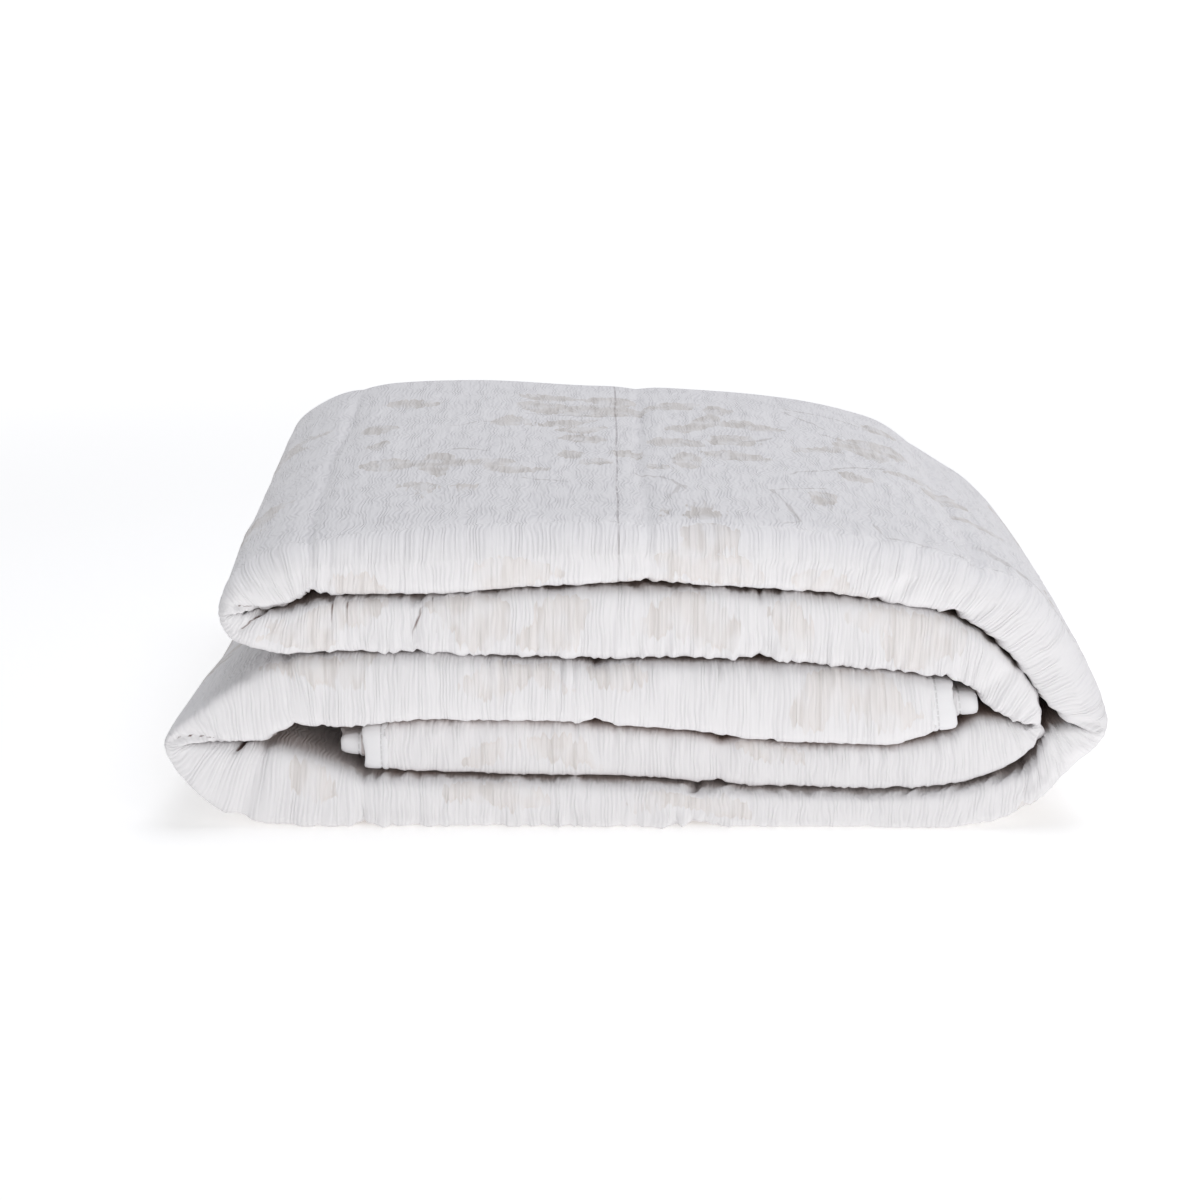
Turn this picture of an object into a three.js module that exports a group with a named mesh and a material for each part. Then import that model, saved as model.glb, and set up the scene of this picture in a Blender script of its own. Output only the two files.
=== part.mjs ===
import * as THREE from 'three';

// A quilted bedspread of 1.8 x 2.6 m, folded in four across its width and then folded back and
// forth five high along its length. Millimetres, +Z up, the rounded front folds towards -Y.

const cloth = { width: 1800, length: 2600, panel: 200 };
const stack = { depth: cloth.width / 4, frontRound: 24, frontSquare: 0.7, backRound: 15, floorSnap: 0.4 };
const seam = { depth: 2.2, reach: 26, power: 2.4, last: cloth.length / cloth.panel };
const tape = {
  width: 12,
  seat: 0.4,
  share: 0.42,
  endThickness: 5.6,
  outerLevel: 0.76,
  innerLevel: 0.26,
  innerStep: 14,
};
const mesh = { ringStep: 16, straightShare: 0.55, seamFlank: 8, walkStep: 2 };

// The folded pad from its first end to its last, one row for each section. The left and right
// faces are those seen walking along the cloth, recess is how far the front fold lies behind the
// foremost one, and sewn numbers the quilting seams.
const sections = [
  { leftX: -154, leftZ: 63.4, rightX: -154, rightZ: 33.4, recess: 9, sewn: 0 },
  { leftX: -114, leftZ: 64.9, rightX: -114, rightZ: 31.9, recess: 9 },
  { leftX: -48, leftZ: 63.4, rightX: -48, rightZ: 30.9, recess: 9 },
  { leftX: 6, leftZ: 58.9, rightX: 6, rightZ: 28.4, recess: 9 },
  { leftX: 50, leftZ: 54.4, rightX: 50, rightZ: 25.7, recess: 9, sewn: 1 },
  { leftX: 97, leftZ: 49.9, rightX: 97, rightZ: 23.4, recess: 8 },
  { leftX: 145, leftZ: 48.9, rightX: 145, rightZ: 22.4, recess: 7 },
  { leftX: 184, leftZ: 55.9, rightX: 185, rightZ: 25.2, recess: 6 },
  { leftX: 206, leftZ: 67.4, rightX: 211, rightZ: 31.8, recess: 5 },
  { leftX: 222, leftZ: 65.4, rightX: 230, rightZ: 42.7, recess: 4 },
  { leftX: 232, leftZ: 63.4, rightX: 243, rightZ: 64.6, recess: 4, sewn: 2 },
  { leftX: 222, leftZ: 68.5, rightX: 235, rightZ: 87.6, recess: 3 },
  { leftX: 207, leftZ: 77.1, rightX: 219, rightZ: 105.6, recess: 2 },
  { leftX: 196, leftZ: 89.3, rightX: 200, rightZ: 121.8, recess: 1 },
  { leftX: 170, leftZ: 96.3, rightX: 172, rightZ: 134.4, recess: 1 },
  { leftX: 120, leftZ: 100.8, rightX: 120, rightZ: 142.4, recess: 1 },
  { leftX: 68, leftZ: 105.3, rightX: 68, rightZ: 145.9, recess: 1, sewn: 3 },
  { leftX: 20, leftZ: 105.8, rightX: 20, rightZ: 148.9, recess: 1 },
  { leftX: -60, leftZ: 106.8, rightX: -60, rightZ: 147.4, recess: 1 },
  { leftX: -133, leftZ: 109.8, rightX: -133, rightZ: 142.9, recess: 1, sewn: 4 },
  { leftX: -180, leftZ: 110.8, rightX: -180, rightZ: 141.4, recess: 1 },
  { leftX: -218, leftZ: 109, rightX: -212, rightZ: 134.4, recess: 1 },
  { leftX: -242, leftZ: 114.3, rightX: -232, rightZ: 133.4, recess: 1 },
  { leftX: -251, leftZ: 133.2, rightX: -241, rightZ: 134.8, recess: 1 },
  { leftX: -246, leftZ: 152, rightX: -232, rightZ: 136.2, recess: 2 },
  { leftX: -230, leftZ: 166, rightX: -212, rightZ: 137.4, recess: 4 },
  { leftX: -198, leftZ: 177, rightX: -196, rightZ: 144.4, recess: 4, sewn: 5 },
  { leftX: -130, leftZ: 184, rightX: -130, rightZ: 145.4, recess: 3 },
  { leftX: -60, leftZ: 187, rightX: -60, rightZ: 149.9, recess: 2 },
  { leftX: 2, leftZ: 188, rightX: 2, rightZ: 152.4, recess: 2, sewn: 6 },
  { leftX: 60, leftZ: 186, rightX: 60, rightZ: 149.4, recess: 2 },
  { leftX: 110, leftZ: 181.5, rightX: 105, rightZ: 146.2, recess: 2 },
  { leftX: 160, leftZ: 173.5, rightX: 150, rightZ: 140.6, recess: 2 },
  { leftX: 203, leftZ: 162, rightX: 185, rightZ: 132.9, recess: 1, sewn: 7 },
  { leftX: 236, leftZ: 147, rightX: 206, rightZ: 120.9, recess: 0 },
  { leftX: 255, leftZ: 126, rightX: 224, rightZ: 103.8, recess: 0 },
  { leftX: 271, leftZ: 98, rightX: 240, rightZ: 82.6, recess: 0 },
  { leftX: 279, leftZ: 78, rightX: 251, rightZ: 70.5, recess: 0 },
  { leftX: 280.5, leftZ: 65, rightX: 271, rightZ: 61.3, recess: 0 },
  { leftX: 276.5, leftZ: 51, rightX: 259, rightZ: 63.6, recess: 0 },
  { leftX: 262, leftZ: 34.2, rightX: 247, rightZ: 61.4, recess: 1 },
  { leftX: 234, leftZ: 11.4, rightX: 235, rightZ: 39.9, recess: 1, sewn: 8 },
  { leftX: 211, leftZ: 4.2, rightX: 212, rightZ: 28.4, recess: 1 },
  { leftX: 180, leftZ: 0, rightX: 184, rightZ: 21.9, recess: 1 },
  { leftX: 145, leftZ: 0, rightX: 145, rightZ: 19.4, recess: 2 },
  { leftX: 97, leftZ: 0, rightX: 97, rightZ: 20.4, recess: 2 },
  { leftX: 34, leftZ: 0, rightX: 34, rightZ: 23.9, recess: 2, sewn: 9 },
  { leftX: -48, leftZ: 0, rightX: -48, rightZ: 27.9, recess: 2 },
  { leftX: -114, leftZ: 0, rightX: -114, rightZ: 28.9, recess: 2 },
  { leftX: -163, leftZ: 0, rightX: -163, rightZ: 31.4, recess: 2, sewn: 10 },
  { leftX: -198, leftZ: 0, rightX: -195, rightZ: 42.5, recess: 1 },
  { leftX: -222, leftZ: 0, rightX: -216, rightZ: 50, recess: 1 },
  { leftX: -249, leftZ: 6, rightX: -234, rightZ: 52.2, recess: 1 },
  { leftX: -271.5, leftZ: 26.5, rightX: -252.5, rightZ: 52.9, recess: 0 },
  { leftX: -284.5, leftZ: 53, rightX: -272, rightZ: 53.6, recess: 0 },
  { leftX: -261, leftZ: 77, rightX: -254, rightZ: 54.9, recess: 0 },
  { leftX: -233, leftZ: 96.3, rightX: -230, rightZ: 54.4, recess: 1 },
  { leftX: -211, leftZ: 105.7, rightX: -205, rightZ: 62.4, recess: 1, sewn: 11 },
  { leftX: -180, leftZ: 107.6, rightX: -180, rightZ: 62.4, recess: 0 },
  { leftX: -128, leftZ: 108.3, rightX: -128, rightZ: 67.9, recess: 0 },
  { leftX: -80, leftZ: 105.3, rightX: -80, rightZ: 66.9, recess: 0 },
  { leftX: -28, leftZ: 103.3, rightX: -28, rightZ: 65.9, recess: 0, sewn: 12 },
  { leftX: 20, leftZ: 103, rightX: 20, rightZ: 61.4, recess: 0 },
  { leftX: 96, leftZ: 100.3, rightX: 96, rightZ: 52.9, recess: 0 },
  { leftX: 145, leftZ: 96.1, rightX: 148, rightZ: 52.4, recess: 1 },
  { leftX: 169, leftZ: 92.8, rightX: 173, rightZ: 58.9, recess: 2, sewn: 13 },
];

// How much of its height over the floor of the sag the back of the pile has lost, across x.
const sag = { floor: 60, depthPower: 1.4 };
const settling = [
  { x: -281, share: -0.02 },
  { x: -240, share: -0.032 },
  { x: -195, share: -0.055 },
  { x: -120, share: -0.035 },
  { x: -24, share: 0.027 },
  { x: 48, share: 0.042 },
  { x: 114, share: 0.052 },
  { x: 172, share: 0.09 },
  { x: 232, share: 0.305 },
  { x: 281, share: 0.38 },
];

// How far the back of the lower left fold is drawn in, along the cloth.
const tuck = { from: 0.08, to: 0.48 };
const tucking = [
  { along: 2000, inward: 0 },
  { along: 2060, inward: 15 },
  { along: 2160, inward: 15 },
  { along: 2270, inward: 0 },
];

// A smooth curve through the values at the knots, which never swings past a value.
function smoothCurve(knots, values) {
  const steps = values.slice(1).map((v, i) => (v - values[i]) / (knots[i + 1] - knots[i]));
  const slopes = values.map((_, i) => {
    const before = steps[Math.max(0, i - 1)];
    const after = steps[Math.min(i, steps.length - 1)];
    return before * after > 0 ? (2 * before * after) / (before + after) : 0;
  });
  return (at) => {
    const place = THREE.MathUtils.clamp(at, knots[0], knots[knots.length - 1]);
    const i = Math.max(0, knots.findIndex((k) => place <= k) - 1);
    const span = knots[i + 1] - knots[i];
    const t = (place - knots[i]) / span;
    const rise = (3 - 2 * t) * t * t;
    return values[i] * (1 - rise) + values[i + 1] * rise
      + span * t * (1 - t) * (slopes[i] * (1 - t) - slopes[i + 1] * t);
  };
}

// Where each row lies along the flat cloth: the seams are a panel apart, and the rows between two
// seams share that panel by their distances.
function placesAlong(rows) {
  const walked = [0];
  for (let i = 1; i < rows.length; i++) {
    const a = rows[i - 1];
    const b = rows[i];
    const left = Math.hypot(b.leftX - a.leftX, b.leftZ - a.leftZ);
    const right = Math.hypot(b.rightX - a.rightX, b.rightZ - a.rightZ);
    walked.push(walked[i - 1] + (left + right) / 2);
  }
  const sewn = rows.map((row, i) => ({ at: walked[i], seam: row.sewn })).filter((s) => s.seam !== undefined);
  return walked.map((w) => {
    const next = Math.max(1, sewn.findIndex((s) => w <= s.at));
    const from = sewn[next - 1];
    return cloth.panel * (from.seam + (w - from.at) / (sewn[next].at - from.at));
  });
}

const places = placesAlong(sections);
const curveOf = (name) => smoothCurve(places, sections.map((row) => row[name]));
const leftX = curveOf('leftX');
const leftZ = curveOf('leftZ');
const rightX = curveOf('rightX');
const rightZ = curveOf('rightZ');
const recess = curveOf('recess');
const settled = smoothCurve(settling.map((row) => row.x), settling.map((row) => row.share));
const tucked = smoothCurve(tucking.map((row) => row.along), tucking.map((row) => row.inward));

// How far both faces are drawn in by the nearest quilting seam.
function seamDraw(along) {
  const nearest = Math.round(along / cloth.panel);
  const isEnd = nearest === 0 || nearest === seam.last;
  const away = Math.abs(along - nearest * cloth.panel) / seam.reach;
  return isEnd ? 0 : seam.depth * Math.max(0, 1 - away) ** seam.power;
}

// A section of the pad: its middle, half its thickness as a vector, and its front.
function sectionAt(along) {
  const left = new THREE.Vector2(leftX(along), leftZ(along));
  const right = new THREE.Vector2(rightX(along), rightZ(along));
  const half = left.clone().sub(right).multiplyScalar(0.5);
  const middle = left.add(right).multiplyScalar(0.5);
  half.setLength(half.length() - seamDraw(along));
  return { middle, half, front: recess(along) - stack.depth / 2, inward: tucked(along) };
}

// A point of the folded pile: level runs from -1 on the right face to 1 on the left face, and
// reach carries it straight on past an end of the cloth. What is nearly down lies on the floor.
function place(section, level, y, reach = 0) {
  const back = THREE.MathUtils.clamp(y / stack.depth + 0.5, 0, 1);
  const inward = section.inward * THREE.MathUtils.smoothstep(back, tuck.from, tuck.to);
  const x = section.middle.x + section.half.x * level + reach + inward;
  const z = section.middle.y + section.half.y * level;
  const drop = settled(x) * back ** sag.depthPower * Math.max(0, z - sag.floor);
  return [x, y, z < stack.floorSnap ? 0 : z - drop];
}

// A rounded front fold as seen from the end, from the left face round to the right face.
function frontFold(front, round, level, steps) {
  return Array.from({ length: steps + 1 }, (_, i) => {
    const angle = Math.PI / 2 - (Math.PI * i) / steps;
    const up = Math.sign(Math.sin(angle)) * Math.abs(Math.sin(angle)) ** stack.frontSquare;
    const out = Math.max(0, Math.cos(angle)) ** stack.frontSquare;
    return { y: front + round * (1 - out), level: level * up };
  });
}

// The outline of the pad folded in four: two plies meet in a fold at the back, and the other two
// end there at the taped hems.
function padOutline(front) {
  const back = stack.depth / 2;
  const hem = back - tape.width - tape.seat;
  return [
    { y: 130, level: 1 },
    { y: 10, level: 1 },
    { y: -110, level: 1 },
    ...frontFold(front, stack.frontRound, 1, 8),
    { y: -40, level: -1 },
    { y: 110, level: -1 },
    { y: hem - 5, level: -1 },
    { y: hem, level: -0.86 },
    { y: hem, level: -0.6 },
    { y: hem - 34, level: -0.5 },
    { y: hem, level: -0.4 },
    { y: hem, level: -0.14 },
    { y: hem - 40, level: 0 },
    { y: back - stack.backRound, level: 0.06 },
    { y: back - 3, level: 0.24 },
    { y: back, level: 0.52 },
    { y: back - 4, level: 0.82 },
    { y: back - stack.backRound, level: 1 },
  ];
}

// The same outline drawn in to the two inner plies, which reach past the outer ones at an end.
function innerOutline(front) {
  const inner = { front: front + 10, back: stack.depth / 2 - 30, level: 0.44 };
  return padOutline(front).map((p) => ({
    y: THREE.MathUtils.clamp(p.y, inner.front, inner.back),
    level: p.level * inner.level,
  }));
}

// A closed skin over rings that all have the same number of points.
function loft(rings, flatEnds) {
  const count = rings[0].length;
  const index = [];
  for (let i = 0; i < rings.length - 1; i++) {
    for (let j = 0; j < count; j++) {
      const a = i * count + j;
      const b = i * count + ((j + 1) % count);
      index.push(a, b + count, a + count, a, b, b + count);
    }
  }
  const last = (rings.length - 1) * count;
  const [firstCap, lastCap] = flatEnds.map((flat) => THREE.ShapeUtils.triangulateShape(flat, []));
  for (const [a, b, c] of firstCap) index.push(a, c, b);
  for (const [a, b, c] of lastCap) index.push(last + a, last + b, last + c);
  const geometry = new THREE.BufferGeometry();
  geometry.setAttribute('position', new THREE.Float32BufferAttribute(rings.flat(2), 3));
  geometry.setIndex(index);
  geometry.computeVertexNormals();
  return geometry;
}

const flatten = (points) => points.map((p) => new THREE.Vector2(p.y, p.level * stack.frontRound));

// Distances along the cloth of the rings: close together round the folds, wider apart between them,
// with one more beside each seam.
function ringPlaces() {
  const rings = [];
  for (let panel = 0; panel < seam.last; panel++) {
    const start = panel * cloth.panel + mesh.seamFlank;
    const end = (panel + 1) * cloth.panel - mesh.seamFlank;
    rings.push(start - mesh.seamFlank);
    const walk = [{ along: start, walked: 0 }];
    for (let along = start + mesh.walkStep; along <= end; along += mesh.walkStep) {
      const before = along - mesh.walkStep;
      const left = Math.hypot(leftX(along) - leftX(before), leftZ(along) - leftZ(before));
      const right = Math.hypot(rightX(along) - rightX(before), rightZ(along) - rightZ(before));
      const pace = Math.abs(left - right) + mesh.straightShare * Math.min(left, right);
      walk.push({ along, walked: walk[walk.length - 1].walked + pace });
    }
    const total = walk[walk.length - 1].walked;
    const count = Math.round(total / mesh.ringStep);
    for (let i = 0; i <= count; i++) {
      rings.push(walk.find((w) => w.walked >= (total * i) / count - 1e-6).along);
    }
  }
  return [...rings, cloth.length];
}

const ringsAlong = ringPlaces();

function padGeometry() {
  const ringOf = (along, outline, reach = 0) => {
    const section = sectionAt(along);
    return outline(section.front).map((p) => place(section, p.level, p.y, reach));
  };
  const rings = [
    ringOf(0, innerOutline, -tape.innerStep),
    ringOf(0, innerOutline),
    ...ringsAlong.map((along) => ringOf(along, padOutline)),
    ringOf(cloth.length, innerOutline),
    ringOf(cloth.length, innerOutline, tape.innerStep),
  ];
  const end = flatten(innerOutline(-stack.depth / 2));
  return loft(rings, [end, end]);
}

// The tape on a long hem, as a flat strip along the back of the pad.
function hemTapeGeometry(level) {
  const back = stack.depth / 2;
  const half = tape.share / 2;
  const outline = [
    { y: back - tape.width, level: level + half },
    { y: back - tape.width, level: level - half },
    { y: back - 1.5, level: level - half },
    { y: back, level },
    { y: back - 1.5, level: level + half },
  ];
  const rings = ringsAlong.map((along) => {
    const section = sectionAt(along);
    return outline.map((p) => place(section, p.level, p.y));
  });
  return loft(rings, [flatten(outline), flatten(outline)]);
}

// The tape on an end, as one strip along the four plies: from one hem round the outer front fold,
// the back fold and the inner front fold to the other hem. The inner plies reach further out.
function endTapeGeometry(along, outward) {
  const section = sectionAt(along);
  const front = section.front;
  const back = stack.depth / 2 - 4;
  const turn = (tape.outerLevel + tape.innerLevel) / 2;
  const outer = frontFold(front + 3.2, 17, -tape.outerLevel, 8).map((p) => ({ ...p, reach: 0 }));
  const inner = frontFold(front + 12.5, 11, tape.innerLevel, 8).map((p) => ({ ...p, reach: tape.innerStep }));
  const route = [
    { y: back, level: -tape.outerLevel, reach: 0 },
    { y: 110, level: -tape.outerLevel, reach: 0 },
    { y: -50, level: -tape.outerLevel, reach: 0 },
    ...outer,
    { y: -50, level: tape.outerLevel, reach: 0 },
    { y: 110, level: tape.outerLevel, reach: 0 },
    { y: back - 12, level: tape.outerLevel, reach: 0 },
    { y: back - 4, level: tape.outerLevel * 0.93, reach: tape.innerStep * 0.25 },
    { y: back, level: turn, reach: tape.innerStep * 0.5 },
    { y: back - 4, level: tape.innerLevel * 1.2, reach: tape.innerStep * 0.75 },
    { y: back - 12, level: tape.innerLevel, reach: tape.innerStep },
    { y: 110, level: tape.innerLevel, reach: tape.innerStep },
    { y: -50, level: tape.innerLevel, reach: tape.innerStep },
    ...inner,
    { y: -50, level: -tape.innerLevel, reach: tape.innerStep },
    { y: 110, level: -tape.innerLevel, reach: tape.innerStep },
    { y: back, level: -tape.innerLevel, reach: tape.innerStep },
  ];
  const scale = section.half.length();
  const rings = route.map((p, i) => {
    const a = route[Math.max(0, i - 1)];
    const b = route[Math.min(route.length - 1, i + 1)];
    const way = new THREE.Vector2(b.y - a.y, (b.level - a.level) * scale).normalize();
    const side = { y: -way.y * tape.endThickness / 2, level: way.x * tape.endThickness / 2 / scale };
    const near = outward * (tape.seat + p.reach);
    const far = outward * (tape.seat + p.reach + tape.width);
    return [
      place(section, p.level - side.level, p.y - side.y, near),
      place(section, p.level - side.level, p.y - side.y, far),
      place(section, p.level + side.level, p.y + side.y, far),
      place(section, p.level + side.level, p.y + side.y, near),
    ];
  });
  if (outward > 0) rings.forEach((ring) => ring.reverse());
  const square = [[0, 0], [1, 0], [1, 1], [0, 1]].map(([x, y]) => new THREE.Vector2(x, y));
  return loft(rings, [square, square]);
}

const crinkleCotton = new THREE.MeshStandardMaterial({ color: 0xdcdbde, roughness: 0.92, metalness: 0 });
const whiteTape = new THREE.MeshStandardMaterial({ color: 0xececef, roughness: 0.8, metalness: 0 });

const pieces = [
  { name: 'quilted_cloth', geometry: padGeometry(), material: crinkleCotton },
  { name: 'end_tape_inner', geometry: endTapeGeometry(0, -1), material: whiteTape },
  { name: 'end_tape_outer', geometry: endTapeGeometry(cloth.length, 1), material: whiteTape },
  { name: 'hem_tape_outer', geometry: hemTapeGeometry(-tape.outerLevel), material: whiteTape },
  { name: 'hem_tape_inner', geometry: hemTapeGeometry(-tape.innerLevel), material: whiteTape },
];

const bedspread = new THREE.Group();
for (const piece of pieces) {
  const solid = new THREE.Mesh(piece.geometry, piece.material);
  solid.name = piece.name;
  bedspread.add(solid);
}

export default bedspread;
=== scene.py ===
import math

import bpy
import numpy as np
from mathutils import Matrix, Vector


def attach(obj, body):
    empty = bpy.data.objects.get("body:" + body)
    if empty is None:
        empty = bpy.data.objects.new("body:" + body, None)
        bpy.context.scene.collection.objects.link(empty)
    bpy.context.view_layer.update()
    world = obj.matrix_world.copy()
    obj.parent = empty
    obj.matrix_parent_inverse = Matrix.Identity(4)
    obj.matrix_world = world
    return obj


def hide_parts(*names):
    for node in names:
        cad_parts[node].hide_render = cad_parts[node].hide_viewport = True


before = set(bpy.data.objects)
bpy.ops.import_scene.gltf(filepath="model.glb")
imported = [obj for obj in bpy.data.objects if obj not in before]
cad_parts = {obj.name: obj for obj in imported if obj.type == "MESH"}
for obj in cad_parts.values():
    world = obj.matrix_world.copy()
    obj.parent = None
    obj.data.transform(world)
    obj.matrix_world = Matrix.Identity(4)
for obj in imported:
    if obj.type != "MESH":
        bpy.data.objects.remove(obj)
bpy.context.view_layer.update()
mm = 0.001

# The pile's sections from the cloth's first end to its last, in millimetres, as the solids have them.
# Left and right are the two faces of the folded cloth, and sewn numbers the quilting seams.
sectionColumns = ("leftX", "leftZ", "rightX", "rightZ", "recess", "sewn")
sectionRows = [
    (-154, 63.4, -154, 33.4, 9, 0),
    (-114, 64.9, -114, 31.9, 9, None),
    (-48, 63.4, -48, 30.9, 9, None),
    (6, 58.9, 6, 28.4, 9, None),
    (50, 54.4, 50, 25.7, 9, 1),
    (97, 49.9, 97, 23.4, 8, None),
    (145, 48.9, 145, 22.4, 7, None),
    (184, 55.9, 185, 25.2, 6, None),
    (206, 67.4, 211, 31.8, 5, None),
    (222, 65.4, 230, 42.7, 4, None),
    (232, 63.4, 243, 64.6, 4, 2),
    (222, 68.5, 235, 87.6, 3, None),
    (207, 77.1, 219, 105.6, 2, None),
    (196, 89.3, 200, 121.8, 1, None),
    (170, 96.3, 172, 134.4, 1, None),
    (120, 100.8, 120, 142.4, 1, None),
    (68, 105.3, 68, 145.9, 1, 3),
    (20, 105.8, 20, 148.9, 1, None),
    (-60, 106.8, -60, 147.4, 1, None),
    (-133, 109.8, -133, 142.9, 1, 4),
    (-180, 110.8, -180, 141.4, 1, None),
    (-218, 109, -212, 134.4, 1, None),
    (-242, 114.3, -232, 133.4, 1, None),
    (-251, 133.2, -241, 134.8, 1, None),
    (-246, 152, -232, 136.2, 2, None),
    (-230, 166, -212, 137.4, 4, None),
    (-198, 177, -196, 144.4, 4, 5),
    (-130, 184, -130, 145.4, 3, None),
    (-60, 187, -60, 149.9, 2, None),
    (2, 188, 2, 152.4, 2, 6),
    (60, 186, 60, 149.4, 2, None),
    (110, 181.5, 105, 146.2, 2, None),
    (160, 173.5, 150, 140.6, 2, None),
    (203, 162, 185, 132.9, 1, 7),
    (236, 147, 206, 120.9, 0, None),
    (255, 126, 224, 103.8, 0, None),
    (271, 98, 240, 82.6, 0, None),
    (279, 78, 251, 70.5, 0, None),
    (280.5, 65, 271, 61.3, 0, None),
    (276.5, 51, 259, 63.6, 0, None),
    (262, 34.2, 247, 61.4, 1, None),
    (234, 11.4, 235, 39.9, 1, 8),
    (211, 4.2, 212, 28.4, 1, None),
    (180, 0, 184, 21.9, 1, None),
    (145, 0, 145, 19.4, 2, None),
    (97, 0, 97, 20.4, 2, None),
    (34, 0, 34, 23.9, 2, 9),
    (-48, 0, -48, 27.9, 2, None),
    (-114, 0, -114, 28.9, 2, None),
    (-163, 0, -163, 31.4, 2, 10),
    (-198, 0, -195, 42.5, 1, None),
    (-222, 0, -216, 50, 1, None),
    (-249, 6, -234, 52.2, 1, None),
    (-271.5, 26.5, -252.5, 52.9, 0, None),
    (-284.5, 53, -272, 53.6, 0, None),
    (-261, 77, -254, 54.9, 0, None),
    (-233, 96.3, -230, 54.4, 1, None),
    (-211, 105.7, -205, 62.4, 1, 11),
    (-180, 107.6, -180, 62.4, 0, None),
    (-128, 108.3, -128, 67.9, 0, None),
    (-80, 105.3, -80, 66.9, 0, None),
    (-28, 103.3, -28, 65.9, 0, 12),
    (20, 103, 20, 61.4, 0, None),
    (96, 100.3, 96, 52.9, 0, None),
    (145, 96.1, 148, 52.4, 1, None),
    (174, 92.8, 178, 58.9, 2, 13),
]

# How much of its height the back of the pile has lost, across x.
settlingColumns = ("x", "share")
settlingRows = [
    (-281, -0.02), (-240, -0.032), (-195, -0.055), (-120, -0.035), (-24, 0.027),
    (48, 0.042), (114, 0.052), (172, 0.09), (232, 0.305), (281, 0.38),
]

# How far the back of the lower left fold is drawn in, along the cloth.
tuckingColumns = ("along", "inward")
tuckingRows = [(2.0, 0), (2.06, 15), (2.16, 15), (2.27, 0)]

bedspread = {
    "width": 1.8, "length": 2.6, "panel": 0.2, "depth": 0.45,
    "frontRound": 24 * mm, "frontSquare": 0.38, "thinFront": 0.34, "fullThick": 21 * mm, "recessFade": 0.4,
    "openSquare": 0.95, "droop": 0.22, "droopReach": 30 * mm,
    "lip": 0.55 * mm, "lipPlace": 13 * mm, "lipWidth": 11 * mm,
    "hemInset": 12.4 * mm, "innerStep": 14 * mm, "endReach": 0.06, "endPower": 1.5,
    "sagFloor": 60 * mm, "sagPower": 1.4, "tuckFrom": 0.08, "tuckTo": 0.48,
    "seams": 12, "seamDepth": 2.2 * mm, "seamReach": 26 * mm, "seamPower": 2.4,
    "seamWander": 4 * mm, "seamWanderLength": 0.12, "seamApart": 3.7,
    "step": 2.4 * mm, "frontRows": 15, "topRows": 6, "fineRows": 12,
}

# Each uneven thing has its own seed.
seeds = {
    "pleat": 3, "narrowPleat": 4, "pleatWander": 5, "swell": 6, "narrowSwell": 7,
    "leafU": 8, "leafV": 9, "seam": 11,
}
unevenness = {"cells": 256, "startU": 57.3, "startV": 31.7}

# Stretches along the cloth, each by where it begins and where it ends: the top layer, the left
# face where no layer lies against it, and the hollow beside the lower left fold.
topStretch = ((0.88, 0.92), (1.56, 1.62))
openLeftStretches = [((0.86, 0.90), (1.72, 1.80)), ((2.0, 2.06), (2.20, 2.25))]
hollowStretch = ((1.98, 2.03), (2.13, 2.18))


def column(rows, columns, name):
    # one named column of a table
    return np.array([row[columns.index(name)] for row in rows], float)


def smoothCurve(knots, values):
    # a curve through the values that never swings past one of them
    knots = np.asarray(knots, float)
    values = np.asarray(values, float)
    steps = np.diff(values) / np.diff(knots)
    before = np.concatenate([steps[:1], steps])
    after = np.concatenate([steps, steps[-1:]])
    product = before * after
    total = np.where(np.abs(before + after) < 1e-12, 1, before + after)
    slopes = np.where(product > 0, 2 * product / total, 0)

    def read(at):
        at = np.clip(at, knots[0], knots[-1])
        i = np.clip(np.searchsorted(knots, at, side="left") - 1, 0, len(knots) - 2)
        span = knots[i + 1] - knots[i]
        t = (at - knots[i]) / span
        rise = (3 - 2 * t) * t * t
        return (values[i] * (1 - rise) + values[i + 1] * rise
                + span * t * (1 - t) * (slopes[i] * (1 - t) - slopes[i + 1] * t))

    return read


def placesAlong(rows, panel):
    # the seams lie a panel apart, and the rows between them share the panel by their distances
    moves = np.diff(np.array([row[:4] for row in rows], float), axis=0)
    sides = np.hypot(moves[:, 0], moves[:, 1]) + np.hypot(moves[:, 2], moves[:, 3])
    walked = np.concatenate([[0], np.cumsum(sides / 2)])
    sewn = [(way, row[-1]) for way, row in zip(walked, rows) if row[-1] is not None]
    return np.interp(walked, [way for way, number in sewn], [number * panel for way, number in sewn])


sectionPlaces = placesAlong(sectionRows, bedspread["panel"])
sectionCurves = {
    name: smoothCurve(sectionPlaces, column(sectionRows, sectionColumns, name) * mm)
    for name in sectionColumns[:5]
}
settlingX, settlingShare = (column(settlingRows, settlingColumns, name) for name in settlingColumns)
settled = smoothCurve(settlingX * mm, settlingShare)
tuckingAlong, tuckingInward = (column(tuckingRows, tuckingColumns, name) for name in tuckingColumns)
tucked = smoothCurve(tuckingAlong, tuckingInward * mm)


def softStep(low, high, value):
    t = np.clip((value - low) / (high - low), 0, 1)
    return t * t * (3 - 2 * t)


def within(u, stretch):
    # how far a place lies inside a stretch of the cloth
    begins, ends = stretch
    return softStep(*begins, u) - softStep(*ends, u)


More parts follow.
